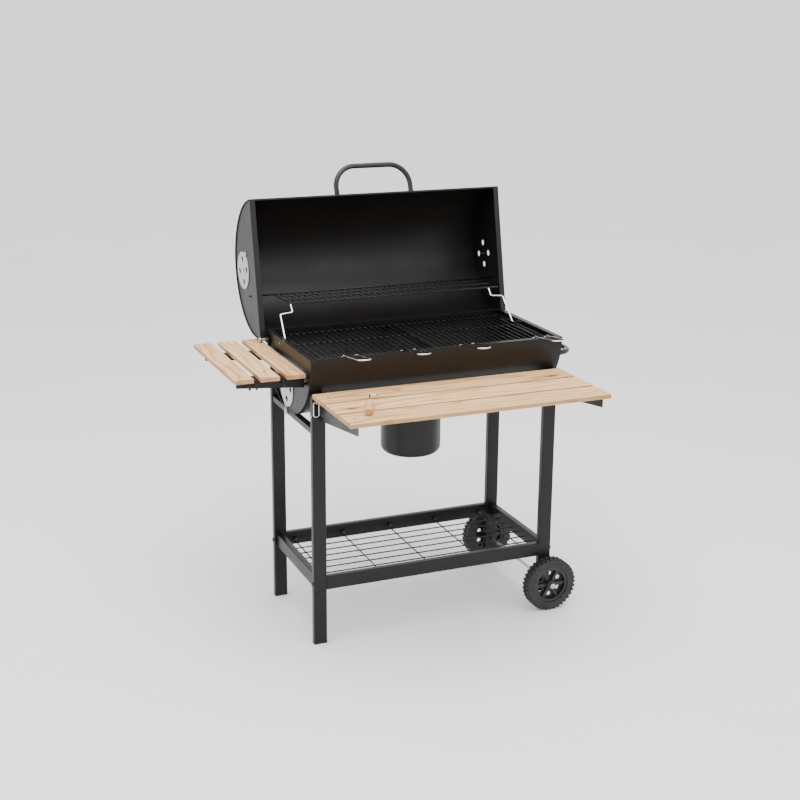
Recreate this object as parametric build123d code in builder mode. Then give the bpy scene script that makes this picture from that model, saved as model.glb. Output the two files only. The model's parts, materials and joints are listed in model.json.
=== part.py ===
from build123d import *
import os
from math import cos, sin, radians, sqrt, degrees

os.makedirs("parts", exist_ok=True)

# ---------------------------------------------------------------- driving dimensions (mm)
# Frame: X to the right along the barrel, Y to the back, Z up from the floor.
FRAME_W, FRAME_D = 781.0, 394.0        # over the legs
TUBE_X, TUBE_Y, WALL = 40.0, 20.0, 1.5
LEG_TOP, LEG_SEAM = 762.0, 166.0
SHELF_TOP, RAIL_H, RAIL_T = 211.7, 41.8, 20.0
SIDE_RAIL_X = 372.0                    # centre of the lower end rails
TOP_RAIL_Z, TOP_RAIL_H = 657.0, 18.0

BOWL_R, SHEET = 204.0, 1.5
BOWL_Y, BOWL_Z, BOWL_HALF = -4.0, 872.0, 397.0
END_X = 391.0                          # outer face of the bowl's end plates
RIM_LIP = 16.0

LID_R, LID_HALF = 211.5, 416.0
LID_C_Y, LID_C_Z = -4.0, 831.0         # barrel axis of the closed lid
LID_END_X = 413.0
HINGE_Y, HINGE_Z = 208.0, 838.0
LID_OPEN = 101.5                       # degrees from closed to resting open
LID_LIP_IN = 399.2                     # inner edge of the lips on the ends

VENT_R, VENT_HOLE_R, VENT_PCR = 58.0, 9.5, 35.5
BOWL_VENT_Y, BOWL_VENT_Z = 25.0, 735.0
LID_VENT_V = 131.0

RACK_Y, RACK_Z = 306.3, 952.1          # rear rod of the warming rack
BAR_Y, BAR_Z = 165.3, 952.1            # cross bar of its support
PIN_Y, PIN_Z = 77.0, 856.0             # pivot of the support
RACK_TILT = 177.52

GRATE_Z, BAR_R, PITCH = 862.0, 2.5, 20.0
ROD_Y, ROD_Z = -183.0, 866.4           # front rod of the cooking grates

SHELF_Z, SLAT_T = 774.5, 12.0          # top of the front shelf
SIDE_Z = 828.0
WHEEL_R, WHEEL_W, AXLE_X, AXLE_Z, WHEEL_Y = 84.0, 36.0, 376.0, 84.0, 222.0
POT_X, POT_Y, POT_R, POT_BOTTOM, POT_TOP = -4.0, 0.0, 92.0, 500.0, 648.0

SHIFT_X, SHIFT_Y = 60.75, 27.05        # origin to the centre of the whole object's footprint

RING_X, RING_Y, RING_TOP = -380.5, -203.4, 748.2

LEG_X = FRAME_W / 2 - TUBE_X / 2       # 370.5
LEG_Y = FRAME_D / 2 - TUBE_Y / 2       # 187
BOLT_Z = 742.0                         # bolts from the legs into the bowl
BOLT_X = {(-1, -1): -359.0, (1, -1): 380.0, (-1, 1): -370.5, (1, 1): 370.5}
FRONT_SCREWS = [(x, y) for x in (-363.0, 375.0) for y in (-251.5, -356.5, -461.5)]
SIDE_SCREWS = [(x, y) for x in (-429.0, -505.0, -581.0) for y in (-115.0, 150.0)]


def save(part, label):
    # drawn about the centre of the legs' footprint, kept about the centre of the whole object's
    part = part.moved(Location((SHIFT_X, SHIFT_Y, 0)))
    part.label = label
    export_step(part, "parts/" + label + ".step")


# the lid's own plane: origin on the barrel axis of the open lid, x from front to back of its rim, y to its crown
t = radians(LID_OPEN)
ry, rz = LID_C_Y - HINGE_Y, LID_C_Z - HINGE_Z
LID = Plane(
    origin=(0, HINGE_Y + ry * cos(t) + rz * sin(t), HINGE_Z - ry * sin(t) + rz * cos(t)),
    x_dir=(0, cos(t), -sin(t)),
    z_dir=(1, 0, 0),
)
END = Plane(origin=(0, BOWL_Y, BOWL_Z), x_dir=(0, 1, 0), z_dir=(1, 0, 0))   # bowl's end-view plane
HU, HV = HINGE_Y - LID_C_Y, HINGE_Z - LID_C_Z                                # hinge in the lid's plane
dy, dz = RACK_Y - LID.origin.Y, RACK_Z - LID.origin.Z
RU, RV = dy * cos(t) - dz * sin(t), dy * sin(t) + dz * cos(t)               # rack rod in the lid's plane

# ---------------------------------------------------------------- legs
for label, sx, sy in (
    ("front_left_upper_leg", -1, -1),
    ("front_right_upper_leg", 1, -1),
    ("back_left_upper_leg", -1, 1),
    ("back_right_upper_leg", 1, 1),
):
    with BuildPart() as upper_leg:
        with BuildSketch(Plane.XY.offset(LEG_SEAM + 0.8)):
            with Locations((sx * LEG_X, sy * LEG_Y)):
                RectangleRounded(TUBE_X, TUBE_Y, 2.5)
                RectangleRounded(TUBE_X - 2 * WALL, TUBE_Y - 2 * WALL, 1.2, mode=Mode.SUBTRACT)
        extrude(amount=LEG_TOP - LEG_SEAM - 0.8)
        # bolt hole to the bowl
        with Locations((BOLT_X[(sx, sy)], sy * LEG_Y, BOLT_Z)):
            Cylinder(3.0, 40.0, rotation=(90, 0, 0), mode=Mode.SUBTRACT)
    save(upper_leg.part, label)

for label, sx, sy, z0 in (
    ("front_left_lower_leg", -1, -1, 4.0),
    ("back_left_lower_leg", -1, 1, 4.0),
    ("front_right_lower_leg", 1, -1, 52.0),
    ("back_right_lower_leg", 1, 1, 52.0),
):
    with BuildPart() as lower_leg:
        with BuildSketch(Plane.XY.offset(z0)):
            with Locations((sx * LEG_X, sy * LEG_Y)):
                RectangleRounded(TUBE_X, TUBE_Y, 2.5)
                RectangleRounded(TUBE_X - 2 * WALL, TUBE_Y - 2 * WALL, 1.2, mode=Mode.SUBTRACT)
        extrude(amount=LEG_SEAM - z0)
        if sx > 0:
            # the axle passes through both faces of the leg
            with Locations((AXLE_X, sy * LEG_Y, AXLE_Z)):
                Cylinder(5.0, 40, rotation=(90, 0, 0), mode=Mode.SUBTRACT)
    save(lower_leg.part, label)

# plastic caps: shoes on the two standing legs, plugs in the tops and in the right legs' lower ends
with BuildPart() as tube_caps:
    for sy in (-1, 1):
        with BuildSketch(Plane.XY):
            with Locations((-LEG_X, sy * LEG_Y)):
                RectangleRounded(TUBE_X + 1.0, TUBE_Y + 1.0, 3.0)
        extrude(amount=4.0)
        with BuildSketch(Plane.XY.offset(4.0)):
            with Locations((-LEG_X, sy * LEG_Y)):
                RectangleRounded(TUBE_X - 2 * WALL - 0.4, TUBE_Y - 2 * WALL - 0.4, 1.0)
        extrude(amount=14.0)
        for sx in (-1, 1):
            with BuildSketch(Plane.XY.offset(LEG_TOP)):
                with Locations((sx * LEG_X, sy * LEG_Y)):
                    RectangleRounded(TUBE_X, TUBE_Y, 2.5)
            extrude(amount=1.2)
        with BuildSketch(Plane.XY.offset(50.0)):
            with Locations((LEG_X, sy * LEG_Y)):
                RectangleRounded(TUBE_X, TUBE_Y, 2.5)
        extrude(amount=2.0)
save(tube_caps.part, "tube_end_caps")

# ---------------------------------------------------------------- lower shelf
for label, sy in (("front_shelf_rail", -1), ("back_shelf_rail", 1)):
    with BuildPart() as rail:
        with BuildSketch(Plane.YZ.offset(-LEG_X + TUBE_X / 2)):
            with Locations((sy * LEG_Y, SHELF_TOP - RAIL_H / 2)):
                RectangleRounded(RAIL_T, RAIL_H, 2.5)
                RectangleRounded(RAIL_T - 2 * WALL, RAIL_H - 2 * WALL, 1.2, mode=Mode.SUBTRACT)
        extrude(amount=2 * LEG_X - TUBE_X)
    save(rail.part, label)

for label, sx in (("left_shelf_rail", -1), ("right_shelf_rail", 1)):
    with BuildPart() as end_rail:
        with BuildSketch(Plane.XZ.offset(-LEG_Y + TUBE_Y / 2)):
            with Locations((sx * SIDE_RAIL_X, SHELF_TOP - RAIL_H / 2)):
                RectangleRounded(RAIL_T, RAIL_H, 2.5)
                RectangleRounded(RAIL_T - 2 * WALL, RAIL_H - 2 * WALL, 1.2, mode=Mode.SUBTRACT)
        extrude(amount=2 * LEG_Y - TUBE_Y)
    save(end_rail.part, label)

# wire floor: eight long wires on five cross wires, whose ends turn up into eyes against the rails
WIRE_Z = 180.0
CROSS_X = (-322.0, -161.0, 0.0, 161.0, 322.0)
with BuildPart() as wire_shelf:
    with Locations(*[(0, -151.0 + 43.0 * i, WIRE_Z + 3.6) for i in range(8)]):
        Cylinder(2.0, 722, rotation=(0, 90, 0))
    for x in CROSS_X:
        with Locations((x, 0, WIRE_Z)):
            Cylinder(2.0, 348, rotation=(90, 0, 0))
        for sy in (-1, 1):
            with Locations((x, sy * 173.5, WIRE_Z + 7.6)):
                Cylinder(8.5, 4.0, rotation=(90, 0, 0))
                Cylinder(3.2, 6.0, rotation=(90, 0, 0), mode=Mode.SUBTRACT)
save(wire_shelf.part, "wire_shelf")

# ---------------------------------------------------------------- upper end rails
for label, sx in (("left_top_rail", -1), ("right_top_rail", 1)):
    with BuildPart() as top_rail:
        with BuildSketch(Plane.XZ.offset(-LEG_Y + TUBE_Y / 2)):
            with Locations((sx * 378.0, TOP_RAIL_Z)):
                RectangleRounded(20.0, TOP_RAIL_H, 2.0)
                RectangleRounded(17.0, TOP_RAIL_H - 2 * WALL, 1.0, mode=Mode.SUBTRACT)
        extrude(amount=2 * LEG_Y - TUBE_Y)
    save(top_rail.part, label)

# zinc-plated screws: eyes of the wire floor, outer sides of the legs, hanger of the ring
with BuildPart() as frame_screws:
    for x in CROSS_X:
        for sy in (-1, 1):
            with Locations((x, sy * 170.0, WIRE_Z + 7.6)):
                Cylinder(5.0, 2.8, rotation=(90, 0, 0))
            with Locations((x, sy * 174.3, WIRE_Z + 7.6)):
                Cylinder(2.4, 5.4, rotation=(90, 0, 0))
    for sx in (-1, 1):
        for sy in (-1, 1):
            for z in (704.0, 190.0):
                with Locations((sx * (FRAME_W / 2 + 2.0), sy * LEG_Y, z)):
                    Cylinder(5.5, 4.0, rotation=(0, 90, 0))
    # eye for the hanging ring
    with Locations((RING_X, -199.5, RING_TOP)):
        Cylinder(2.5, 5.0, rotation=(90, 0, 0))
    with Locations((RING_X, RING_Y, RING_TOP)):
        Cylinder(4.8, 3.0, rotation=(0, 90, 0))
        Cylinder(1.82, 8.0, rotation=(0, 90, 0), mode=Mode.SUBTRACT)
save(frame_screws.part, "frame_screws")

# ---------------------------------------------------------------- axle and wheels (right end)
with BuildPart() as axle:
    with Locations((AXLE_X, 0, AXLE_Z)):
        Cylinder(5.0, 2 * 250.0, rotation=(90, 0, 0))
save(axle.part, "wheel_axle")

with BuildPart() as axle_nuts:
    for sy in (-1, 1):
        with BuildSketch(Plane.XZ.offset(-sy * 246.5)):
            with Locations((AXLE_X, AXLE_Z)):
                RegularPolygon(8.5, 6)
                Circle(5.0, mode=Mode.SUBTRACT)
        extrude(amount=3.0, both=True)
        with Locations((AXLE_X, sy * 200.3, AXLE_Z)):
            Cylinder(9.0, 2.4, rotation=(90, 0, 0))
            Cylinder(5.0, 4.0, rotation=(90, 0, 0), mode=Mode.SUBTRACT)
save(axle_nuts.part, "axle_nuts")

for side, sy in (("front", -1), ("back", 1)):
    with BuildPart() as tyre:
        with BuildSketch(Plane.XZ.offset(-sy * WHEEL_Y)):
            with Locations((AXLE_X, AXLE_Z)):
                Circle(WHEEL_R - 3.5)
                Circle(57.0, mode=Mode.SUBTRACT)
        extrude(amount=WHEEL_W / 2, both=True)
        fillet(tyre.edges().filter_by(GeomType.CIRCLE).group_by(SortBy.RADIUS)[-1], 5.0)
        # two staggered rows of tread blocks
        for row in (-1, 1):
            with BuildSketch(Plane.XZ.offset(-(sy * WHEEL_Y + row * 9.2))):
                with Locations((AXLE_X, AXLE_Z)):
                    with PolarLocations(WHEEL_R - 3.0, 36, start_angle=(row + 1) * 2.5):
                        Rectangle(6.0, 8.5)
            extrude(amount=6.8, both=True)
        with BuildSketch(Plane.XZ.offset(-sy * WHEEL_Y)):
            with Locations((AXLE_X, AXLE_Z)):
                Circle(WHEEL_R + 12.0)
                Circle(WHEEL_R, mode=Mode.SUBTRACT)
        extrude(amount=WHEEL_W, both=True, mode=Mode.SUBTRACT)
    save(tyre.part, side + "_tyre")

    with BuildPart() as hub:
        with BuildSketch(Plane.XZ.offset(-sy * WHEEL_Y)):
            with Locations((AXLE_X, AXLE_Z)):
                Circle(57.0)
                Circle(48.0, mode=Mode.SUBTRACT)
        extrude(amount=15.0, both=True)
        with BuildSketch(Plane.XZ.offset(-sy * WHEEL_Y)):
            with Locations((AXLE_X, AXLE_Z)):
                Circle(49.0)
                with PolarLocations(34.0, 6, start_angle=30):
                    Circle(7.0, mode=Mode.SUBTRACT)
        extrude(amount=2.0, both=True)
        with BuildSketch(Plane.XZ.offset(-sy * WHEEL_Y)):
            with Locations((AXLE_X, AXLE_Z)):
                with PolarLocations(32.0, 6):
                    Rectangle(36.0, 9.0)
        extrude(amount=10.0, both=True)
        with Locations((AXLE_X, sy * WHEEL_Y, AXLE_Z)):
            Cylinder(15.0, 2 * 20.0, rotation=(90, 0, 0))
            Cylinder(5.05, 60, rotation=(90, 0, 0), mode=Mode.SUBTRACT)
    save(hub.part, side + "_hub")

# ---------------------------------------------------------------- bowl
with BuildPart() as bowl_shell:
    with BuildSketch(END):
        Circle(BOWL_R)
        Circle(BOWL_R - SHEET, mode=Mode.SUBTRACT)
        with Locations((0, BOWL_R)):
            Rectangle(3 * BOWL_R, 2 * BOWL_R, mode=Mode.SUBTRACT)
    extrude(amount=BOWL_HALF, both=True)
    # inward lip round the whole rim
    with BuildSketch(Plane.XY.offset(BOWL_Z - SHEET)):
        with Locations((0, BOWL_Y)):
            Rectangle(2 * BOWL_HALF, 2 * BOWL_R)
            Rectangle(2 * (BOWL_HALF - RIM_LIP), 2 * (BOWL_R - RIM_LIP), mode=Mode.SUBTRACT)
    extrude(amount=SHEET)
    # bolt holes, and slots in the overhanging edges for the tabs of the vent discs
    for (sx, sy), x in BOLT_X.items():
        with Locations((x, BOWL_Y + sy * 160.0, BOLT_Z)):
            Cylinder(3.0, 40.0, rotation=(90, 0, 0), mode=Mode.SUBTRACT)
    for sx in (-1, 1):
        with Locations((sx * (END_X + 1.8), 7.0, 680.0)):
            Box(3.4, 112.0, 60.0, mode=Mode.SUBTRACT)
    # opening over the ash pot
    with Locations((POT_X, POT_Y, BOWL_Z - BOWL_R)):
        Cylinder(70.0, 40.0, mode=Mode.SUBTRACT)
save(bowl_shell.part, "bowl_shell")

for label, sx in (("bowl_left_end", -1), ("bowl_right_end", 1)):
    with BuildPart() as bowl_end:
        with BuildSketch(END.offset(sx * (END_X - SHEET / 2))):
            Circle(BOWL_R - SHEET)
            with Locations((0, BOWL_R - SHEET)):
                Rectangle(3 * BOWL_R, 2 * BOWL_R, mode=Mode.SUBTRACT)
            with Locations((BOWL_VENT_Y - BOWL_Y, BOWL_VENT_Z - BOWL_Z)):
                with PolarLocations(VENT_PCR, 4):
                    Circle(VENT_HOLE_R, mode=Mode.SUBTRACT)
                Circle(3.0, mode=Mode.SUBTRACT)
            with Locations((PIN_Y - BOWL_Y, PIN_Z - BOWL_Z)):
                Circle(2.55, mode=Mode.SUBTRACT)
            if sx > 0:
                with Locations((124.0, -72.0), (-124.0, -72.0)):
                    Circle(4.0, mode=Mode.SUBTRACT)
        extrude(amount=SHEET / 2, both=True)
    save(bowl_end.part, label)

# hinge plates standing off the bowl's ends
with BuildPart() as hinge_brackets:
    for sx in (-1, 1):
        with BuildSketch(Plane.YZ.offset(sx * 397.95)):
            with BuildLine():
                Polyline((HINGE_Y, HINGE_Z - 8), (176, HINGE_Z - 9), (176, HINGE_Z + 12), (198, HINGE_Z + 12), (HINGE_Y, HINGE_Z + 8), close=True)
            make_face()
            with Locations((HINGE_Y, HINGE_Z)):
                Circle(8.0)
                Circle(4.0, mode=Mode.SUBTRACT)
        extrude(amount=0.75, both=True)
        with Locations(*[(sx * (END_X + 397.2) / 2, 184, z) for z in (834, 845)]):
            Cylinder(4.0, 397.2 - END_X, rotation=(0, 90, 0))
save(hinge_brackets.part, "bowl_hinge_brackets")

with BuildPart() as hinge_bolts:
    for sx in (-1, 1):
        with Locations((sx * 406.5, HINGE_Y, HINGE_Z)):
            Cylinder(4.0, 19.0, rotation=(0, 90, 0))
        with Locations((sx * 405.0, HINGE_Y, HINGE_Z)):
            Cylinder(5.0, 12.2, rotation=(0, 90, 0))
        with Locations((sx * 416.0, HINGE_Y, HINGE_Z)):
            Cylinder(7.0, 5.0, rotation=(0, 90, 0))
save(hinge_bolts.part, "hinge_bolts")

# bolts through the legs into the bowl, and the rivets that carry its two vent discs
with BuildPart() as bowl_fasteners:
    for (sx, sy), x in BOLT_X.items():
        head = FRAME_D / 2 + (2.0 if sy < 0 else 0.0)      # the front heads sit on the shelf brackets
        tip = 156.0 - sy * 4.0
        with Locations((x, sy * (head + 2.0), BOLT_Z)):
            Cylinder(6.0, 4.0, rotation=(90, 0, 0))
        with Locations((x, sy * (head + tip) / 2, BOLT_Z)):
            Cylinder(3.0, head - tip, rotation=(90, 0, 0))
        # spacer between leg and bowl
        gap = 162.0 - sy * 4.0 + 1.5
        with Locations((x, sy * (177.0 + gap) / 2, BOLT_Z)):
            Cylinder(6.0, 177.0 - gap, rotation=(90, 0, 0))
    for sx in (-1, 1):
        with Locations((sx * (END_X + 0.4), BOWL_VENT_Y, BOWL_VENT_Z)):
            Cylinder(3.0, 7.0, rotation=(0, 90, 0))
        with Locations((sx * (END_X + 3.4), BOWL_VENT_Y, BOWL_VENT_Z)):
            Cylinder(6.0, 1.6, rotation=(0, 90, 0))
save(bowl_fasteners.part, "bowl_fasteners")

# bent tube handle on the bowl's right end
with BuildPart() as side_handle:
    with BuildLine() as side_path:
        FilletPolyline(
            (END_X + 0.0, BOWL_Y - 124.0, 800.0), (END_X + 88.0, BOWL_Y - 124.0, 800.0),
            (END_X + 88.0, BOWL_Y + 124.0, 800.0), (END_X + 0.0, BOWL_Y + 124.0, 800.0), radius=46.0)
    with BuildSketch(Plane(origin=side_path.line @ 0, z_dir=side_path.line % 0)):
        Circle(8.0)
    sweep()
    with Locations((END_X - 3.5, BOWL_Y - 124.0, 800.0), (END_X - 3.5, BOWL_Y + 124.0, 800.0)):
        Cylinder(3.9, 9.0, rotation=(0, 90, 0))
save(side_handle.part, "bowl_side_handle")

# ledges and middle bar that carry the cooking grates
with BuildPart() as grate_ledges:
    for sx in (-1, 1):
        for y, length in ((-50.0, 200.0), (128.0, 46.0)):
            with Locations((sx * 375.75, y, 853.55)):
                Box(27.5, length, 2.5)
            with Locations((sx * 388.25, y, 847.3)):
                Box(2.5, length - 20.0, 10.5)
    with Locations((0, BOWL_Y, 853.55)):
        Box(30.0, 400.0, 2.5)
save(grate_ledges.part, "grate_ledges")

# charcoal grate low in the bowl
with BuildPart() as charcoal_grate:
    with GridLocations(24.0, 1, 31, 1):
        with Locations((0, BOWL_Y, 766.0)):
            Cylinder(3.0, 336.0, rotation=(90, 0, 0))
    with Locations((0, BOWL_Y - 163.0, 761.2), (0, BOWL_Y + 163.0, 761.2), (0, BOWL_Y, 761.2)):
        Cylinder(3.0, 740.0, rotation=(0, 90, 0))
save(charcoal_grate.part, "charcoal_grate")

# ---------------------------------------------------------------- ash pot
with BuildPart() as pot_collar:
    with BuildSketch(Plane.XY.offset(650.0)):
        with Locations((POT_X, POT_Y)):
            Circle(78.0)
            Circle(76.0, mode=Mode.SUBTRACT)
    extrude(amount=20.0)
    # cut to the underside of the bowl
    with BuildSketch(END):
        Circle(BOWL_R)
    extrude(amount=200.0, both=True, mode=Mode.SUBTRACT)
    with BuildSketch(Plane.XY.offset(650.3)):
        with Locations((POT_X, POT_Y)):
            Circle(90.0)
            Circle(76.0, mode=Mode.SUBTRACT)
    extrude(amount=2.0)
    # three bayonet studs
    with Locations((POT_X, POT_Y, 641.0)):
        with PolarLocations(80.0, 3, start_angle=30):
            Cylinder(3.0, 12.0, rotation=(0, 90, 0))
    with BuildSketch(Plane.XY.offset(636.0)):
        with Locations((POT_X, POT_Y)):
            Circle(78.0)
            Circle(76.0, mode=Mode.SUBTRACT)
    extrude(amount=15.0)
save(pot_collar.part, "ash_pot_collar")

with BuildPart() as ash_pot:
    with BuildSketch(Plane.XY.offset(POT_BOTTOM)):
        with Locations((POT_X, POT_Y)):
            Circle(POT_R)
    extrude(amount=POT_TOP - POT_BOTTOM)
    fillet(ash_pot.faces().sort_by(Axis.Z)[0].edges(), 22.0)
    offset(amount=-1.5, openings=ash_pot.faces().sort_by(Axis.Z)[-1])
    # rolled rim, and three lugs that rest on the studs of the collar
    with BuildSketch(Plane.XY.offset(POT_TOP - 3.0)):
        with Locations((POT_X, POT_Y)):
            Circle(POT_R + 2.0)
            Circle(POT_R - 1.5, mode=Mode.SUBTRACT)
    extrude(amount=3.0)
    with Locations((POT_X, POT_Y, 645.4)):
        with PolarLocations(86.8, 3, start_angle=30):
            Box(9.5, 16.0, 2.0)
save(ash_pot.part, "ash_pot")

# ---------------------------------------------------------------- lid (drawn resting open)
with BuildPart() as lid_shell:
    with BuildSketch(LID):
        Circle(LID_R)
        Circle(LID_R - SHEET, mode=Mode.SUBTRACT)
        with Locations((0, -LID_R)):
            Rectangle(3 * LID_R, 2 * LID_R, mode=Mode.SUBTRACT)
        # return lip along the front edge
        with Locations((-LID_R + 2.5, SHEET / 2)):
            Rectangle(5.0, SHEET)
    extrude(amount=LID_HALF, both=True)
    for sx in (-1, 1):
        with BuildSketch(LID.offset(sx * (LID_HALF + LID_LIP_IN) / 2)):
            with Locations((0, SHEET / 2)):
                Rectangle(2 * LID_R - 1.0, SHEET)
        extrude(amount=(LID_HALF - LID_LIP_IN) / 2, both=True)
        # relief round each hinge ear
        with BuildSketch(LID.offset(sx * 408.0)):
            with Locations((HU, HV)):
                Circle(10.5)
        extrude(amount=13.0, both=True, mode=Mode.SUBTRACT)
save(lid_shell.part, "lid_shell")

for label, sx in (("lid_left_end", -1), ("lid_right_end", 1)):
    with BuildPart() as lid_end:
        with BuildSketch(LID.offset(sx * (LID_END_X - SHEET / 2))):
            Circle(LID_R - SHEET)
            with Locations((0, -LID_R + SHEET)):
                Rectangle(3 * LID_R, 2 * LID_R, mode=Mode.SUBTRACT)
            with Locations((HU, HV)):
                Circle(9.0)
                Circle(4.05, mode=Mode.SUBTRACT)
            with Locations((0, LID_VENT_V)):
                with PolarLocations(VENT_PCR, 4):
                    Circle(VENT_HOLE_R, mode=Mode.SUBTRACT)
                Circle(3.0, mode=Mode.SUBTRACT)
            with Locations((RU, RV)):
                Circle(3.05, mode=Mode.SUBTRACT)
        extrude(amount=SHEET / 2, both=True)
    save(lid_end.part, label)

with BuildPart() as lid_rivets:
    for sx in (-1, 1):
        with BuildSketch(LID.offset(sx * (LID_END_X + 0.4))):
            with Locations((0, LID_VENT_V)):
                Circle(3.0)
        extrude(amount=3.5, both=True)
        with BuildSketch(LID.offset(sx * (LID_END_X + 3.4))):
            with Locations((0, LID_VENT_V)):
                Circle(6.0)
        extrude(amount=0.8, both=True)
save(lid_rivets.part, "lid_vent_rivets")

# bent tube handle, square to the shell a little behind its front edge
HA = radians(180 - 8)
HX, HY = cos(HA), sin(HA)
h0 = LID.from_local_coords(((LID_R) * HX, (LID_R) * HY, 0))
h1 = LID.from_local_coords(((LID_R + 90) * HX, (LID_R + 90) * HY, 0))
with BuildPart() as lid_handle:
    with BuildLine() as lid_path:
        FilletPolyline(
            (-124.0, h0.Y, h0.Z), (-124.0, h1.Y, h1.Z), (124.0, h1.Y, h1.Z), (124.0, h0.Y, h0.Z), radius=66.0)
    with BuildSketch(Plane(origin=lid_path.line @ 0, z_dir=lid_path.line % 0)):
        Circle(8.0)
    sweep()
    with BuildSketch(LID):
        Circle(LID_R)
    extrude(amount=200.0, both=True, mode=Mode.SUBTRACT)
save(lid_handle.part, "lid_handle")

# ---------------------------------------------------------------- vent discs
for label, plane, u, v, tab in (
    ("bowl_left_vent", END.offset(-(END_X + 1.4)), BOWL_VENT_Y - BOWL_Y, BOWL_VENT_Z - BOWL_Z, -80.0),
    ("bowl_right_vent", END.offset(END_X + 1.4), BOWL_VENT_Y - BOWL_Y, BOWL_VENT_Z - BOWL_Z, -80.0),
    ("lid_left_vent", LID.offset(-(LID_END_X + 1.4)), 0.0, LID_VENT_V, 215.0),
    ("lid_right_vent", LID.offset(LID_END_X + 1.4), 0.0, LID_VENT_V, 215.0),
):
    with BuildPart() as disc:
        with BuildSketch(plane):
            with Locations((u, v)):
                Circle(VENT_R)
            with Locations(Location((u, v), tab)):
                # long slotted tab on the bowl's discs, short thumb tab on the lid's
                reach = 32.0 if label.startswith("bowl") else 10.0
                with Locations((VENT_R + reach - 22.0, 0)):
                    RectangleRounded(44.0, 20.0 if reach > 20 else 16.0, 4.0)
                if reach > 20:
                    with Locations((VENT_R + 18.0, 0)):
                        SlotOverall(16.0, 6.0, mode=Mode.SUBTRACT)
            with Locations((u, v)):
                with PolarLocations(VENT_PCR, 4):
                    Circle(VENT_HOLE_R, mode=Mode.SUBTRACT)
                Circle(3.05, mode=Mode.SUBTRACT)
        extrude(amount=0.8, both=True)
    save(disc.part, label)

# ---------------------------------------------------------------- warming rack and its support
a = radians(RACK_TILT)
RACK = Plane(origin=(0, RACK_Y, RACK_Z), x_dir=(0, cos(a), sin(a)), z_dir=(1, 0, 0))
with BuildPart() as warming_rack:
    # rear rod, turning in the lid's ends
    with Locations((0, RACK_Y, RACK_Z)):
        Cylinder(3.0, 2 * 417.0, rotation=(0, 90, 0))
    # cross wires forward from the rod
    with BuildSketch(Plane(origin=(0, RACK_Y, RACK_Z), x_dir=(1, 0, 0), z_dir=(0, cos(a), sin(a)))):
        with GridLocations(20.0, 1, 35, 1):
            Circle(2.0)
    extrude(amount=188.0)
    # long wires on top of them
    for d in (62.0, 118.0, 186.0):
        with BuildSketch(RACK.offset(-342.0)):
            with Locations((d, -3.6)):
                Circle(2.0)
        extrude(amount=684.0)
save(warming_rack.part, "warming_rack")

uy, uz = PIN_Y - BAR_Y, PIN_Z - BAR_Z
L = sqrt(uy * uy + uz * uz)
uy, uz = uy / L, uz / L
with BuildPart() as rack_support:
    with BuildLine() as support_path:
        FilletPolyline(
            (-395.5, PIN_Y, PIN_Z),
            (-376.0, PIN_Y, PIN_Z),
            (-370.5, BAR_Y + uy * 34.0, BAR_Z + uz * 34.0),
            (-331.0, BAR_Y + uy * 30.0, BAR_Z + uz * 30.0),
            (-331.0, BAR_Y, BAR_Z),
            (331.0, BAR_Y, BAR_Z),
            (331.0, BAR_Y + uy * 30.0, BAR_Z + uz * 30.0),
            (370.5, BAR_Y + uy * 34.0, BAR_Z + uz * 34.0),
            (376.0, PIN_Y, PIN_Z),
            (395.5, PIN_Y, PIN_Z),
            radius=5.0)
    with BuildSketch(Plane(origin=support_path.line @ 0, z_dir=support_path.line % 0)):
        Circle(2.5)
    sweep()
save(rack_support.part, "rack_support")

# ---------------------------------------------------------------- cooking grates and their folding handles
HANDLE_X = {-1: (-273.0, -93.0), 1: (93.0, 333.0)}
for side, sx in (("left", -1), ("right", 1)):
    with BuildPart() as grate:
        with Locations((sx * 183.0, -4.0, GRATE_Z)):
            with GridLocations(PITCH, 1, 19, 1):
                Cylinder(BAR_R, 368.0, rotation=(90, 0, 0))
        for y in (-145.0, 30.0, 160.0):
            with Locations((sx * 183.0, y, GRATE_Z - 4.4)):
                Cylinder(BAR_R, 362.0, rotation=(0, 90, 0))
        with Locations((sx * 183.0, ROD_Y, ROD_Z)):
            Cylinder(BAR_R, 362.0, rotation=(0, 90, 0))
        for hx in HANDLE_X[sx]:
            with Locations((hx - 30.0, -131.0, GRATE_Z + 8.0), (hx + 10.0, -131.0, GRATE_Z + 8.0)):
                Cylinder(1.6, 15.0)
    save(grate.part, side + "_cooking_grate")

    with BuildPart() as handles:
        for hx in HANDLE_X[sx]:
            with BuildLine() as handle_path:
                FilletPolyline(
                    (hx - 20.0, ROD_Y, ROD_Z + 6.6), (hx - 20.0, -191.0, 875.6), (hx - 20.0, -212.0, 876.2), (hx - 20.0, -315.0, 890.0),
                    (hx + 20.0, -315.0, 890.0), (hx + 20.0, -212.0, 876.2), (hx + 20.0, -191.0, 875.6), (hx + 20.0, ROD_Y, ROD_Z + 6.6),
                    radius=2.6)
            with BuildSketch(Plane(origin=handle_path.line @ 0, z_dir=handle_path.line % 0)):
                Circle(2.0)
            sweep()
            # eyes round the grate's front rod
            with Locations((hx - 20.0, ROD_Y, ROD_Z), (hx + 20.0, ROD_Y, ROD_Z)):
                Cylinder(5.4, 6.0, rotation=(0, 90, 0))
                Cylinder(2.55, 8.0, rotation=(0, 90, 0), mode=Mode.SUBTRACT)
    save(handles.part, side + "_grate_handles")

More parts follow.
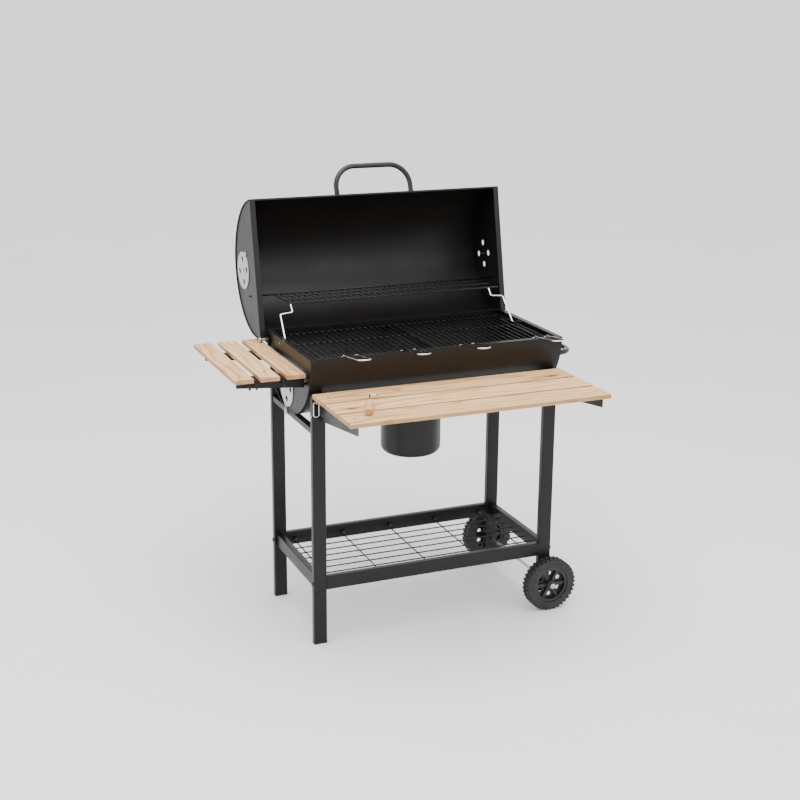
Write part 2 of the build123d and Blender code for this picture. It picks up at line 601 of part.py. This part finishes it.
# ---------------------------------------------------------------- front shelf
with BuildPart() as front_slats:
    with Locations(*[(0, y, SHELF_Z - SLAT_T / 2) for y in (-251.5, -356.5, -461.5)]):
        Box(786.0, 95.0, SLAT_T)
    with Locations(*[(x, y, SHELF_Z) for x, y in FRONT_SCREWS]):
        Cylinder(1.8, 40.0, mode=Mode.SUBTRACT)
        Cylinder(3.6, 3.2, mode=Mode.SUBTRACT)
    fillet(front_slats.edges().filter_by(Axis.X).filter_by(lambda e: e.length > 700), 1.2)
save(front_slats.part, "front_shelf_slats")

for label, x, bolt in (("front_shelf_left_bracket", -369.0, BOLT_X[(-1, -1)]), ("front_shelf_right_bracket", 369.0, BOLT_X[(1, -1)])):
    with BuildPart() as bracket:
        # tapering web
        with BuildSketch(Plane.YZ.offset(x)):
            with BuildLine():
                Polyline((-197.0, SHELF_Z - SLAT_T), (-197.0, 696.0), (-214.0, 696.0), (-503.0, 737.0), (-503.0, SHELF_Z - SLAT_T), close=True)
            make_face()
        extrude(amount=1.0, both=True)
        # top flange under the slats, back flange on the leg
        with Locations((x + 10.0, -350.0, SHELF_Z - SLAT_T - 1.0)):
            Box(22.0, 306.0, 2.0)
        with Locations((x + 10.0, -198.0, 729.0)):
            Box(22.0, 2.0, 66.0)
        with Locations((bolt, -198.0, BOLT_Z)):
            Cylinder(3.0, 8.0, rotation=(90, 0, 0), mode=Mode.SUBTRACT)
        with Locations(*[(px, py, SHELF_Z - SLAT_T) for px, py in FRONT_SCREWS]):
            Cylinder(1.8, 10.0, mode=Mode.SUBTRACT)
    save(bracket.part, label)

# ---------------------------------------------------------------- side shelf (left)
with BuildPart() as side_slats:
    with Locations(*[(x, 42.0, SIDE_Z - SLAT_T / 2) for x in (-429.0, -505.0, -581.0)]):
        Box(55.0, 440.0, SLAT_T)
    with Locations(*[(x, y, SIDE_Z) for x, y in SIDE_SCREWS]):
        Cylinder(1.8, 40.0, mode=Mode.SUBTRACT)
        Cylinder(3.6, 3.2, mode=Mode.SUBTRACT)
    fillet(side_slats.edges().filter_by(Axis.Y).filter_by(lambda e: e.length > 400), 1.2)
save(side_slats.part, "side_shelf_slats")

for label, y, sy in (("side_shelf_front_bracket", -150.0, 1), ("side_shelf_rear_bracket", 176.0, -1)):
    with BuildPart() as side_bracket:
        with BuildSketch(Plane.XZ.offset(-y)):
            with BuildLine():
                Polyline((-397.4, SIDE_Z - SLAT_T), (-397.4, 781.0), (-597.0, 797.0), (-597.0, SIDE_Z - SLAT_T), close=True)
            make_face()
        extrude(amount=-sy * 2.0)
        with Locations((-497.2, y + sy * 24.0, SIDE_Z - SLAT_T - 1.0)):
            Box(199.6, 48.0, 2.0)
        with Locations(*[(px, py, SIDE_Z - SLAT_T) for px, py in SIDE_SCREWS]):
            Cylinder(1.8, 10.0, mode=Mode.SUBTRACT)
        # flange on the bowl's end, on two spacers
        with Locations((-398.2, y + sy * 14.0, 797.0)):
            Box(1.6, 28.0, 34.0)
        with Locations(*[(-(END_X + 397.4) / 2, y + sy * 12.0, z) for z in (788.0, 806.0)]):
            Cylinder(4.0, 397.4 - END_X, rotation=(0, 90, 0))
    save(side_bracket.part, label)

# wood screws, heads a hair proud of the slats
with BuildPart() as shelf_screws:
    for x, y, z in [(px, py, SHELF_Z) for px, py in FRONT_SCREWS] + [(px, py, SIDE_Z) for px, py in SIDE_SCREWS]:
        with Locations((x, y, z - 0.6)):
            Cylinder(3.6, 2.0)
        with Locations((x, y, z - 9.1)):
            Cylinder(1.8, 15.0)
save(shelf_screws.part, "shelf_screws")

# three hooks on the face of the side shelf's front bracket
with BuildPart() as tool_hooks:
    for x, z in ((-564.0, 809.0), (-544.0, 809.0), (-463.0, 809.0)):
        with BuildLine() as hook_path:
            FilletPolyline((x, -150.2, z), (x, -164.0, z), (x, -164.0, z - 14.0), (x, -176.0, z - 14.0), (x, -176.0, z - 3.0), radius=4.0)
        with BuildSketch(Plane(origin=hook_path.line @ 0, z_dir=hook_path.line % 0)):
            Circle(1.8)
        sweep()
save(tool_hooks.part, "tool_hooks")

# ---------------------------------------------------------------- loose pieces
# wire ring hanging on its screw at the front left leg
with BuildPart() as tool_ring:
    with BuildLine() as ring_path:
        FilletPolyline(
            (RING_X - 8.0, RING_Y, RING_TOP), (RING_X + 8.0, RING_Y, RING_TOP),
            (RING_X + 8.0, RING_Y, RING_TOP - 41.0), (RING_X - 8.0, RING_Y, RING_TOP - 41.0), radius=5.0, close=True)
    with BuildSketch(Plane(origin=ring_path.line @ 0, z_dir=ring_path.line % 0)):
        Circle(1.75)
    sweep()
save(tool_ring.part, "tool_ring")

# grate lifter lying on the front shelf: turned wooden grip and bent steel hook
GX, GY, GZ = -321.0, -458.0, SHELF_Z
dx, dyy = 0.38, 0.925
GRIP = Plane(origin=(GX, GY, GZ + 12.0), x_dir=(dyy, -dx, 0), z_dir=(dx, dyy, 0))
with BuildPart() as lifter_grip:
    with BuildSketch(Plane(origin=GRIP.origin, x_dir=GRIP.x_dir, z_dir=(-GRIP.x_dir.cross(GRIP.z_dir)).normalized() * -1)):
        with BuildLine():
            Spline((9.0, 0.0), (11.2, 8.0), (9.0, 40.0), (10.4, 75.0), (7.5, 100.0))
            Polyline((7.5, 100.0), (0.0, 100.0), (0.0, 0.0), (9.0, 0.0))
        make_face()
    revolve(axis=Axis(GRIP.origin, GRIP.z_dir))
save(lifter_grip.part, "lifter_grip")

g1 = GRIP.origin + GRIP.z_dir * 100.0
with BuildPart() as lifter_hook:
    with BuildLine() as lifter_path:
        FilletPolyline(
            g1, g1 + GRIP.z_dir * 66.0, g1 + GRIP.z_dir * 66.0 + GRIP.x_dir * 20.0,
            g1 + GRIP.z_dir * 52.0 + GRIP.x_dir * 20.0, radius=5.0)
    with BuildSketch(Plane(origin=g1, z_dir=GRIP.z_dir)):
        Circle(2.2)
    sweep()
save(lifter_hook.part, "lifter_hook")
print("lid plane origin", LID.origin, "rack in lid plane", RU, RV)
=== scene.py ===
import json
import math

import bmesh
import bpy
from mathutils import Matrix, Vector


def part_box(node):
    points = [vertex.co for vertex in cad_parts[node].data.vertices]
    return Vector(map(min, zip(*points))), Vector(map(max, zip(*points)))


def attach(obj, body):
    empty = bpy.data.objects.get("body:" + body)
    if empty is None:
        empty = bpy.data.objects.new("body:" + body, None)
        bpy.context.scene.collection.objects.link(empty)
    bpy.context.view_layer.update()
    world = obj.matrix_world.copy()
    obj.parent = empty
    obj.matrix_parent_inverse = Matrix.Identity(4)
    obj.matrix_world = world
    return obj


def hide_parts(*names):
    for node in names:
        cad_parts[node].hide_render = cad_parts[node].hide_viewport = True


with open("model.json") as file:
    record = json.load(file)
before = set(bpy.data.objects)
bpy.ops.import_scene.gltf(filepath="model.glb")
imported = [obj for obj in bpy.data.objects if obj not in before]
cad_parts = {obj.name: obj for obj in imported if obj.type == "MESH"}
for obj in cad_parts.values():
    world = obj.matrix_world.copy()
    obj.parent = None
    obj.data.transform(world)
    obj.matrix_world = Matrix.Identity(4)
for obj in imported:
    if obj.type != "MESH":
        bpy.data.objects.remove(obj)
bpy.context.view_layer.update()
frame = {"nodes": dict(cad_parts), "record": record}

nodes = frame["nodes"]
SX, SY = 0.06075, 0.02705      # the record's origin from the centre of the legs' footprint


# ------------------------------------------------------------------ node helpers
def material(name):
    m = bpy.data.materials.new(name)
    m.use_nodes = True
    t = m.node_tree
    b = t.nodes["Principled BSDF"]
    return m, t, b


def coords(t, scale=(1, 1, 1), rot=(0, 0, 0)):
    c = t.nodes.new("ShaderNodeTexCoord")
    mp = t.nodes.new("ShaderNodeMapping")
    mp.inputs["Scale"].default_value = scale
    mp.inputs["Rotation"].default_value = rot
    t.links.new(c.outputs["Object"], mp.inputs["Vector"])
    return mp.outputs["Vector"]


def noise(t, vec, scale, detail=4, rough=0.55, dist=0.0):
    n = t.nodes.new("ShaderNodeTexNoise")
    n.inputs["Scale"].default_value = scale
    n.inputs["Detail"].default_value = detail
    n.inputs["Roughness"].default_value = rough
    n.inputs["Distortion"].default_value = dist
    t.links.new(vec, n.inputs["Vector"])
    return n.outputs["Fac"]


def ramp(t, fac, stops):
    r = t.nodes.new("ShaderNodeValToRGB")
    e = r.color_ramp.elements
    while len(e) < len(stops):
        e.new(0.5)
    for el, (p, c) in zip(e, stops):
        el.position = p
        el.color = (*c, 1) if len(c) == 3 else c
    t.links.new(fac, r.inputs["Fac"])
    return r.outputs["Color"]


def grey(v):
    return (v, v, v)


def mapr(t, fac, a, b, lo=0.0, hi=1.0):
    m = t.nodes.new("ShaderNodeMapRange")
    m.inputs["From Min"].default_value = lo
    m.inputs["From Max"].default_value = hi
    m.inputs["To Min"].default_value = a
    m.inputs["To Max"].default_value = b
    t.links.new(fac, m.inputs["Value"])
    return m.outputs["Result"]


def mix(t, a, b, fac, mode="MIX"):
    m = t.nodes.new("ShaderNodeMix")
    m.data_type = "RGBA"
    m.blend_type = mode
    for sock, v in ((m.inputs[6], a), (m.inputs[7], b), (m.inputs[0], fac)):
        if hasattr(v, "is_linked"):
            t.links.new(v, sock)
        elif isinstance(v, (int, float)):
            sock.default_value = v
        else:
            sock.default_value = (*v, 1)
    return m.outputs[2]


def math_node(t, op, a, b=None):
    m = t.nodes.new("ShaderNodeMath")
    m.operation = op
    for i, v in enumerate((a, b)):
        if v is None:
            continue
        if hasattr(v, "is_linked"):
            t.links.new(v, m.inputs[i])
        else:
            m.inputs[i].default_value = v
    return m.outputs[0]


def bump(t, b, height, strength, distance, normal=None):
    n = t.nodes.new("ShaderNodeBump")
    n.inputs["Strength"].default_value = strength
    n.inputs["Distance"].default_value = distance
    t.links.new(height, n.inputs["Height"])
    if normal is not None:
        t.links.new(normal, n.inputs["Normal"])
    t.links.new(n.outputs["Normal"], b.inputs["Normal"])
    return n.outputs["Normal"]


# ------------------------------------------------------------------ materials
def painted(name, dark, light, rough_lo, rough_hi, peel=0.12, coat=0.0):
    m, t, b = material(name)
    v = coords(t)
    large = noise(t, v, 3.2, 5, 0.6)
    fine = noise(t, v, 420, 3, 0.6)
    dust = noise(t, v, 60, 6, 0.7)
    base = ramp(t, large, [(0.25, dark), (0.8, light)])
    specks = ramp(t, dust, [(0.62, grey(0.0)), (0.86, grey(0.22))])
    t.links.new(mix(t, base, tuple(min(1, c * 3.2) for c in light), specks), b.inputs["Base Color"])
    t.links.new(mapr(t, noise(t, v, 11, 6, 0.65), rough_lo, rough_hi, 0.25, 0.75), b.inputs["Roughness"])
    b.inputs["Specular IOR Level"].default_value = 0.24
    b.inputs["Coat Weight"].default_value = coat
    b.inputs["Coat Roughness"].default_value = 0.3
    bump(t, b, fine, peel, 0.0004)
    return m


PAINT = painted("black_satin_paint", (0.0045, 0.0042, 0.0040), (0.0085, 0.0078, 0.0072), 0.3, 0.44, 0.10, 0.04)
PAINT_SHEET = painted("black_sheet_paint", (0.0052, 0.0046, 0.0042), (0.0098, 0.0084, 0.0075), 0.34, 0.46, 0.10, 0.03)
PAINT_IN = painted("black_heat_paint", (0.005, 0.0047, 0.0045), (0.010, 0.009, 0.0085), 0.42, 0.58, 0.16)
GRATE = painted("black_enamel_wire", (0.003, 0.003, 0.003), (0.006, 0.006, 0.006), 0.28, 0.46, 0.25, 0.15)
GLOSS = painted("black_tube_gloss", (0.004, 0.004, 0.004), (0.007, 0.007, 0.007), 0.14, 0.22, 0.05, 0.35)


def metal(name, col, rough_lo, rough_hi, stretch=(1, 1, 1), spangle=0.0):
    m, t, b = material(name)
    b.inputs["Metallic"].default_value = 1.0
    v = coords(t, stretch)
    n1 = noise(t, v, 160, 4, 0.6)
    n2 = noise(t, coords(t), 22, 5, 0.6)
    cell = t.nodes.new("ShaderNodeTexVoronoi")
    cell.inputs["Scale"].default_value = 260
    t.links.new(coords(t), cell.inputs["Vector"])
    c1 = ramp(t, n2, [(0.3, tuple(c * 0.86 for c in col)), (0.75, col)])
    c2 = mix(t, c1, cell.outputs["Color"], spangle * 0.12, "OVERLAY")
    t.links.new(c2, b.inputs["Base Color"])
    t.links.new(mapr(t, n1, rough_lo, rough_hi, 0.25, 0.75), b.inputs["Roughness"])
    bump(t, b, n1, 0.08, 0.0003)
    return m


ZINC = metal("zinc_plate", (0.62, 0.62, 0.61), 0.34, 0.5, (1, 1, 6), 1.0)
CHROME = metal("chrome_wire", (0.86, 0.86, 0.86), 0.08, 0.18)
STEEL = metal("axle_steel", (0.55, 0.54, 0.53), 0.28, 0.42, (8, 1, 8), 0.4)


def plastic(name, dark, light, rough, grain):
    m, t, b = material(name)
    v = coords(t)
    t.links.new(ramp(t, noise(t, v, 18, 5, 0.6), [(0.3, dark), (0.8, light)]), b.inputs["Base Color"])
    t.links.new(mapr(t, noise(t, v, 70, 4), rough - 0.07, rough + 0.08, 0.3, 0.7), b.inputs["Roughness"])
    bump(t, b, noise(t, v, grain, 3, 0.6), 0.22, 0.0004)
    return m


HUB = plastic("black_hub_plastic", (0.006, 0.006, 0.0065), (0.013, 0.013, 0.0135), 0.48, 900)
CAP = plastic("black_cap_plastic", (0.008, 0.008, 0.008), (0.016, 0.016, 0.016), 0.55, 700)
TYRE = plastic("black_tyre", (0.008, 0.0082, 0.0085), (0.019, 0.019, 0.020), 0.72, 420)


def wood(name, along, pitch, offset, pale, mid, dark):
    """Pine: long growth lines along one axis, arches and knots, each slat a little different."""
    m, t, b = material(name)
    tc = t.nodes.new("ShaderNodeTexCoord")
    sep = t.nodes.new("ShaderNodeSeparateXYZ")
    t.links.new(tc.outputs["Object"], sep.inputs["Vector"])
    a, c = (sep.outputs["X"], sep.outputs["Y"]) if along == "X" else (sep.outputs["Y"], sep.outputs["X"])
    # number of the slat, so that no two share a figure
    slat = math_node(t, "FLOOR", math_node(t, "DIVIDE", math_node(t, "SUBTRACT", c, offset), pitch))
    shift = math_node(t, "MULTIPLY", slat, 3.71)
    comb = t.nodes.new("ShaderNodeCombineXYZ")
    t.links.new(math_node(t, "ADD", a, shift), comb.inputs[0])
    t.links.new(c, comb.inputs[1])
    t.links.new(math_node(t, "ADD", sep.outputs["Z"], shift), comb.inputs[2])
    vec = comb.outputs[0]

    def scaled(s):
        mp = t.nodes.new("ShaderNodeMapping")
        mp.inputs["Scale"].default_value = s
        t.links.new(vec, mp.inputs["Vector"])
        return mp.outputs["Vector"]

    warp = noise(t, scaled((1.6, 9.0, 9.0)), 1.0, 3, 0.5)
    # distance across the slat, bent by the warp, makes the arches
    cross = math_node(t, "ADD", math_node(t, "MULTIPLY", c, 34.0), math_node(t, "MULTIPLY", warp, 7.0))
    rings = math_node(t, "SINE", math_node(t, "MULTIPLY", cross, 6.2))
    rings = mapr(t, rings, 0, 1, -1, 1)
    fibre = noise(t, scaled((7, 520, 520)), 1.0, 4, 0.65)
    blotch = noise(t, scaled((3.0, 22, 22)), 1.0, 4, 0.6)
    col = ramp(t, math_node(t, "POWER", rings, 2.2), [(0.0, pale), (0.55, mid), (1.0, dark)])
    col = mix(t, col, mid, mapr(t, blotch, 0.0, 0.55, 0.35, 0.75))
    col = mix(t, col, tuple(x * 0.62 for x in dark), mapr(t, fibre, 0.0, 0.32, 0.52, 0.82))
    # knots
    vor = t.nodes.new("ShaderNodeTexVoronoi")
    vor.inputs["Scale"].default_value = 1.0
    t.links.new(scaled((3.1, 8.5, 0.2)), vor.inputs["Vector"])
    knot = mapr(t, vor.outputs["Distance"], 1.0, 0.0, 0.03, 0.085)
    halo = mapr(t, vor.outputs["Distance"], 0.45, 0.0, 0.06, 0.2)
    col = mix(t, col, tuple(x * 0.75 for x in dark), halo)
    col = mix(t, col, (0.16, 0.065, 0.025), knot)
    # tone of each slat
    wn = t.nodes.new("ShaderNodeTexWhiteNoise")
    wn.noise_dimensions = "1D"
    t.links.new(slat, wn.inputs["W"])
    col = mix(t, col, mix(t, (1.0, 0.98, 0.95), (0.86, 0.80, 0.73), wn.outputs["Value"]), 1.0, "MULTIPLY")
    # faces that stand upright are mixed toward a dark brown; the more upright the face, the darker
    geo = t.nodes.new("ShaderNodeNewGeometry")
    sn = t.nodes.new("ShaderNodeSeparateXYZ")
    t.links.new(geo.outputs["True Normal"], sn.inputs["Vector"])
    upright_face_mask = mapr(t, math_node(t, "ABSOLUTE", sn.outputs["Z"]), 0.62, 0.0, 0.15, 0.7)
    col = mix(t, col, (0.30, 0.145, 0.06), upright_face_mask)
    t.links.new(col, b.inputs["Base Color"])
    t.links.new(mapr(t, fibre, 0.52, 0.72, 0.3, 0.7), b.inputs["Roughness"])
    b.inputs["Specular IOR Level"].default_value = 0.3
    h = mix(t, fibre, rings, 0.35)
    bump(t, b, h, 0.22, 0.0009)
    return m


PALE, MID, DARK = (0.78, 0.52, 0.285), (0.70, 0.43, 0.21), (0.50, 0.265, 0.11)
PINE_X = wood("pine_front", "X", 0.105, -0.4815 - 0.005, PALE, MID, DARK)
PINE_Y = wood("pine_side", "Y", 0.076, -0.548 - 0.0105, PALE, MID, DARK)
GRIP = wood("grip_beech", "Y", 5.0, 0.0, (0.72, 0.45, 0.24), (0.66, 0.38, 0.19), (0.50, 0.26, 0.11))

plan = {
    "tube_end_caps": CAP, "wheel_axle": STEEL, "axle_nuts": ZINC, "frame_screws": ZINC, "bowl_fasteners": ZINC,
    "hinge_bolts": ZINC, "lid_vent_rivets": ZINC, "bowl_left_vent": ZINC, "bowl_right_vent": ZINC,
    "lid_left_vent": ZINC, "lid_right_vent": ZINC, "shelf_screws": STEEL,
    "rack_support": CHROME, "left_grate_handles": CHROME, "right_grate_handles": CHROME, "lifter_hook": CHROME,
    "tool_ring": CHROME, "front_hub": HUB, "back_hub": HUB, "front_tyre": TYRE, "back_tyre": TYRE,
    "front_shelf_slats": PINE_X, "side_shelf_slats": PINE_Y, "lifter_grip": GRIP,
    "warming_rack": GRATE, "left_cooking_grate": GRATE, "right_cooking_grate": GRATE, "charcoal_grate": GRATE,
    "wire_shelf": GRATE, "bowl_side_handle": GLOSS, "lid_handle": GLOSS, "tool_hooks": GLOSS,
    "lid_shell": PAINT_SHEET, "bowl_shell": PAINT_SHEET, "lid_left_end": PAINT_SHEET, "lid_right_end": PAINT_SHEET,
    "bowl_left_end": PAINT_SHEET, "bowl_right_end": PAINT_SHEET, "grate_ledges": PAINT_IN,
}
# one node holds black screws low on the frame and plated bolts higher up
SCREW, st, sb = material("frame_screw_finish")
sep = st.nodes.new("ShaderNodeSeparateXYZ")
st.links.new(coords(st), sep.inputs["Vector"])
high = math_node(st, "GREATER_THAN", sep.outputs["Z"], 0.3)
st.links.new(mix(st, (0.03, 0.03, 0.03), (0.74, 0.74, 0.73), high), sb.inputs["Base Color"])
st.links.new(high, sb.inputs["Metallic"])
sn = noise(st, coords(st), 300, 3)
st.links.new(mapr(st, sn, 0.3, 0.46, 0.3, 0.7), sb.inputs["Roughness"])
bump(st, sb, sn, 0.1, 0.0003)
plan["frame_screws"] = SCREW

for name, obj in nodes.items():
    # round faces shade smoothly, edges sharper than the angle stay crisp
    obj.data.polygons.foreach_set("use_smooth", [True] * len(obj.data.polygons))
    weld = obj.modifiers.new("weld", "WELD")
    weld.merge_threshold = 0.00001
    split = obj.modifiers.new("crisp", "EDGE_SPLIT")
    split.split_angle = math.radians(32)
    m = plan.get(name, PAINT)
    if not obj.material_slots:
        obj.data.materials.append(m)
    for s in obj.material_slots:
        s.material = m


# ------------------------------------------------------------------ bent wire pieces
def tube_mesh(bm, pts, r, seg=12, closed=False):
    """A round wire along pts, its rings carried along without twist."""
    pts = [Vector(p) for p in pts]
    n = len(pts)
    rings = []
    normal = None
    for i, p in enumerate(pts):
        if closed:
            d = (pts[(i + 1) % n] - pts[i - 1]).normalized()
        else:
            d = (pts[min(i + 1, n - 1)] - pts[max(i - 1, 0)]).normalized()
        if normal is None:
            normal = d.orthogonal().normalized()
        normal = (normal - d * normal.dot(d)).normalized()
        upright_face_mask = d.cross(normal)
        rings.append([bm.verts.new(p + (normal * math.cos(a) + upright_face_mask * math.sin(a)) * r) for a in (2 * math.pi * k / seg for k in range(seg))])
    for i in range(n if closed else n - 1):
        a, b = rings[i], rings[(i + 1) % n]
        for k in range(seg):
            bm.faces.new((a[k], a[(k + 1) % seg], b[(k + 1) % seg], b[k]))
    if not closed:
        # slightly domed ends
        for ring, d in ((rings[0], (pts[0] - pts[1]).normalized()), (rings[-1], (pts[-1] - pts[-2]).normalized())):
            c = sum((v.co for v in ring), Vector()) / seg
            inner = [bm.verts.new(c + (v.co - c) * 0.6 + d * r * 0.3) for v in ring]
            for k in range(seg):
                f = (ring[k], ring[(k + 1) % seg], inner[(k + 1) % seg], inner[k])
                bm.faces.new(f)
            bm.faces.new(inner)


def rounded(pts, radii, steps=8):
    """pts with each inner corner turned into an arc."""
    pts = [Vector(p) for p in pts]
    out = [pts[0]]
    for i in range(1, len(pts) - 1):
        u, v = (pts[i - 1] - pts[i]).normalized(), (pts[i + 1] - pts[i]).normalized()
        half = u.angle(v) / 2
        r = radii if isinstance(radii, (int, float)) else radii[i - 1]
        t = r / math.tan(half)
        c = pts[i] + (u + v).normalized() * (r / math.sin(half))
        a, b = pts[i] + u * t - c, pts[i] + v * t - c
        whole = a.angle(b)
        for k in range(steps + 1):
            f = k / steps
            out.append(c + (a * math.sin((1 - f) * whole) + b * math.sin(f * whole)) / math.sin(whole))
    out.append(pts[-1])
    return out


def finish_piece(bm, name, mat, body, slot_name, *replaced):
    bmesh.ops.recalc_face_normals(bm, faces=bm.faces)
    me = bpy.data.meshes.new(name)
    bm.to_mesh(me)
    bm.free()
    me.polygons.foreach_set("use_smooth", [True] * len(me.polygons))
    o = bpy.data.objects.new(name, me)
    bpy.context.scene.collection.objects.link(o)
    me.materials.append(mat)
    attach(o, body)
    if replaced:
        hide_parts(*replaced)
    return o


MM = 0.001
joint = {j["name"]: j for j in frame["record"]["behaviour"]["joints"]}
# folding grate handles: two eyes on the grate's front rod and one rounded loop of wire each
for upright_face_mask, body, xs in (("left", "left_handles", (-273.0, -93.0)), ("right", "right_handles", (93.0, 333.0))):
    _, y0, z0 = joint[upright_face_mask + "_handles_fold"]["pos_m"]
    bm = bmesh.new()
    slope = Vector((0, -0.9912, 0.1328))
    for hx in xs:
        x = hx * MM + SX
        apex = Vector((x, y0 - 131.9 * MM, z0 + 23.5 * MM))
        centre = apex - slope * 20.0 * MM
        loop = [centre + Vector((-20 * MM * math.cos(a), 0, 0)) + slope * (20 * MM * math.sin(a)) for a in (math.pi * k / 20 for k in range(21))]
        for sx in (-1, 1):
            leg = rounded([(x + sx * 20 * MM, y0 - 1.0 * MM, z0 + 5.2 * MM), (x + sx * 20 * MM, y0 - 9.0 * MM, z0 + 9.2 * MM),
                           (x + sx * 20 * MM, y0 - 29.0 * MM, z0 + 9.8 * MM), centre + Vector((sx * 20 * MM, 0, 0))], [5 * MM, 9 * MM])
            if sx < 0:
                first = leg
            else:
                last = leg
            # the eye is the wire's own end, turned once round the rod
            turn = [Vector((x + sx * (20.0 - 2.2 + 4.4 * k / 40) * MM, y0 + 4.0 * MM * math.sin(2 * math.pi * k / 20), z0 + 4.0 * MM * math.cos(2 * math.pi * k / 20))) for k in range(41)]
            tube_mesh(bm, turn, 1.3 * MM, 10)
        tube_mesh(bm, first + loop[1:-1] + list(reversed(last)), 1.9 * MM, 14)
    finish_piece(bm, upright_face_mask + "_grate_handle_wires", CHROME, body, "chrome", upright_face_mask + "_grate_handles")

# warming rack: fine cross wires with their ends butted against heavier long wires
_, ry, rz = joint["rack_hinge"]["pos_m"]
lo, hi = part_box("warming_rack")
a = math.radians(177.52)
fwd_r, up_r = Vector((0, math.cos(a), math.sin(a))), Vector((0, math.sin(a), -math.cos(a)))
bm = bmesh.new()


def on_rack(x, d, h):
    return Vector((x, ry, rz)) + fwd_r * (d * MM) + up_r * (h * MM)


tube_mesh(bm, [(lo.x, ry, rz), (lo.x * 0.5 + hi.x * 0.5, ry, rz), (hi.x, ry, rz)], 2.9 * MM, 16)
for k in range(35):
    x = SX + (k - 17) * 20 * MM
    tube_mesh(bm, [on_rack(x, 0, 0), on_rack(x, 90, 0), on_rack(x, 187, 0)], 1.35 * MM, 8)
for d, r in ((62.0, 1.6), (118.0, 1.6), (186.0, 1.8)):
    tube_mesh(bm, [on_rack(SX - 342 * MM, d, 2.9), on_rack(SX, d, 2.9), on_rack(SX + 342 * MM, d, 2.9)], r * MM, 10)
finish_piece(bm, "warming_rack_wires", GRATE, "rack", "black_grate", "warming_rack")


# ------------------------------------------------------------------ floor, light, camera
def stage_plane(name, size, z):
    bm = bmesh.new()
    bmesh.ops.create_grid(bm, x_segments=2, y_segments=2, size=size)
    me = bpy.data.meshes.new(name)
    bm.to_mesh(me)
    bm.free()
    o = bpy.data.objects.new(name, me)
    o.location = (0, 0, z)
    bpy.context.scene.collection.objects.link(o)
    return o


floor = stage_plane("studio_floor", 400.0, -0.0006)
fm, ft, fb = material("studio_floor_white")
ft.links.new(ramp(ft, noise(ft, coords(ft), 1.4, 3), [(0.2, (0.90, 0.90, 0.90)), (0.8, (0.93, 0.93, 0.93))]), fb.inputs["Base Color"])
fb.inputs["Roughness"].default_value = 0.8
fb.inputs["Specular IOR Level"].default_value = 0.1
floor.data.materials.append(fm)

world = bpy.data.worlds.new("studio") if bpy.context.scene.world is None else bpy.context.scene.world
bpy.context.scene.world = world
world.use_nodes = True
bg = world.node_tree.nodes.get("Background") or world.node_tree.nodes.new("ShaderNodeBackground")
bg.inputs["Color"].default_value = (1.0, 1.0, 1.0, 1)
bg.inputs["Strength"].default_value = 1.6


def area(name, loc, target, size, power, colour=(1, 1, 1)):
    d = bpy.data.lights.new(name, "AREA")
    d.shape = "RECTANGLE"
    d.size, d.size_y = size
    d.energy = power
    d.color = colour
    o = bpy.data.objects.new(name, d)
    o.location = loc
    o.rotation_euler = (Vector(target) - Vector(loc)).to_track_quat("-Z", "Y").to_euler()
    bpy.context.scene.collection.objects.link(o)
    return o


area("key_left", (-3.6, -1.2, 2.3), (0, 0, 0.8), (2.4, 2.2), 28)
area("top", (-0.3, -0.6, 3.6), (0, 0, 0.7), (3.0, 2.4), 120)
area("front_fill", (1.6, -4.2, 2.4), (0, 0, 0.8), (2.2, 1.6), 24)

cam_data = bpy.data.cameras.new("camera")
cam_data.sensor_width = 36.0
cam_data.lens = 64.66
cam = bpy.data.objects.new("camera", cam_data)
right = Vector((0.9229, -0.3849, 0.0072)).normalized()
fwd = Vector((0.371, 0.8843, -0.2836)).normalized()
up = right.cross(fwd).normalized()
right = fwd.cross(up).normalized()
rot = Matrix((right, up, -fwd)).transposed().to_4x4()
cam.matrix_world = Matrix.Translation((-1.6613 + SX, -3.8648 + SY, 1.9034)) @ rot
bpy.context.scene.collection.objects.link(cam)
bpy.context.scene.camera = cam

bpy.context.view_layer.update()
